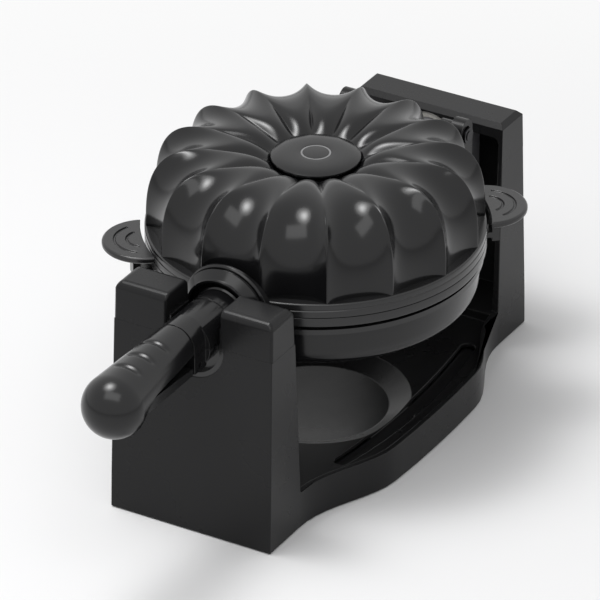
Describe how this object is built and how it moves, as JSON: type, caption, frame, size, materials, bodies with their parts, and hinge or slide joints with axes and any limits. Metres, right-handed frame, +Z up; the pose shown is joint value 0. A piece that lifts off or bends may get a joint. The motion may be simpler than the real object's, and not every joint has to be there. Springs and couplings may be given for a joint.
{
  "type": "rotating waffle maker",
  "caption": "Black rotating waffle maker: a round head with a fluted lid flips between two uprights over a drip tray, with a ball-ended grip and a squeeze lever",
  "frame": {"origin": "On the ground plane (z=0), at the bottom centre of the whole object's box, which lies under the front half of the head.", "axes": "+X right seen from the handle, +Y back towards the tower, +Z up. The handle points to -Y."},
  "size_m": [0.2004, 0.4079, 0.1848],
  "materials": {
    "gloss_black": "gloss",
    "satin_black": "satin",
    "dark_plastic": "matte",
    "bearing_plastic": "satin",
    "pale_nylon": "matte",
    "foot_rubber": "matte",
    "plated_steel": "brushed",
    "element_steel": "brushed",
    "bright_sheet": "brushed",
    "coated_plate": "satin"
  },
  "bodies": {
    "base": {"base_shell": "satin_black", "front_cap_left": "satin_black", "front_cap_right": "satin_black", "tower_cap": "satin_black", "bottom_cover": "dark_plastic", "rubber_feet": "foot_rubber", "base_screws": "plated_steel", "front_saddle": "bearing_plastic", "bearing_housing": "dark_plastic", "rear_bush": "pale_nylon", "flip_stop": "dark_plastic", "cord_gland": "foot_rubber", "terminal_block": "pale_nylon"},
    "lower_half": {"lower_shell": "gloss_black", "lower_band": "satin_black", "lower_plate": "coated_plate", "lower_element": "element_steel", "lower_reflector": "bright_sheet", "collar_lower": "gloss_black", "neck_lower": "gloss_black", "lever_pin": "plated_steel", "hinge_bracket": "satin_black", "rear_hub": "dark_plastic", "hub_clip": "plated_steel", "shell_screws": "plated_steel"},
    "hinge_float": {"hinge_pin": "plated_steel", "hinge_clips": "plated_steel"},
    "lid": {"dome_cover": "gloss_black", "upper_band": "satin_black", "top_cap": "gloss_black", "ring_inlay": "bright_sheet", "upper_plate": "coated_plate", "upper_element": "element_steel", "upper_reflector": "bright_sheet", "thermostat": "pale_nylon", "collar_upper": "gloss_black", "neck_upper": "gloss_black", "upper_grip": "gloss_black", "grip_screw": "plated_steel", "lid_arms": "satin_black"},
    "squeeze_lever": {"lever": "satin_black"},
    "release": {"release_ring": "satin_black", "thumb_tabs": "satin_black"}
  },
  "joints": [
    {"name": "head_flip", "type": "hinge", "parent": "base", "child": "lower_half", "pos_m": [0, 0.03855, 0.1265], "axis": [0, 1, 0], "range_deg": [-180, 0]},
    {"name": "hinge_rise", "type": "slide", "parent": "lower_half", "child": "hinge_float", "axis": [0, 0, 1], "range_m": [0, 0.003]},
    {"name": "lid_hinge", "type": "hinge", "parent": "hinge_float", "child": "lid", "pos_m": [0, 0.14455, 0.154], "axis": [-1, 0, 0], "range_deg": [0, 105]},
    {"name": "lever_squeeze", "type": "hinge", "parent": "lower_half", "child": "squeeze_lever", "pos_m": [0, -0.11445, 0.119], "axis": [-1, 0, 0], "range_deg": [0, 3.5], "stiffness_Nm_per_rad": 0.5},
    {"name": "ring_release", "type": "hinge", "parent": "lower_half", "child": "release", "pos_m": [0, 0.03855, 0.1165], "axis": [0, 0, -1], "range_deg": [0, 12]}
  ]
}
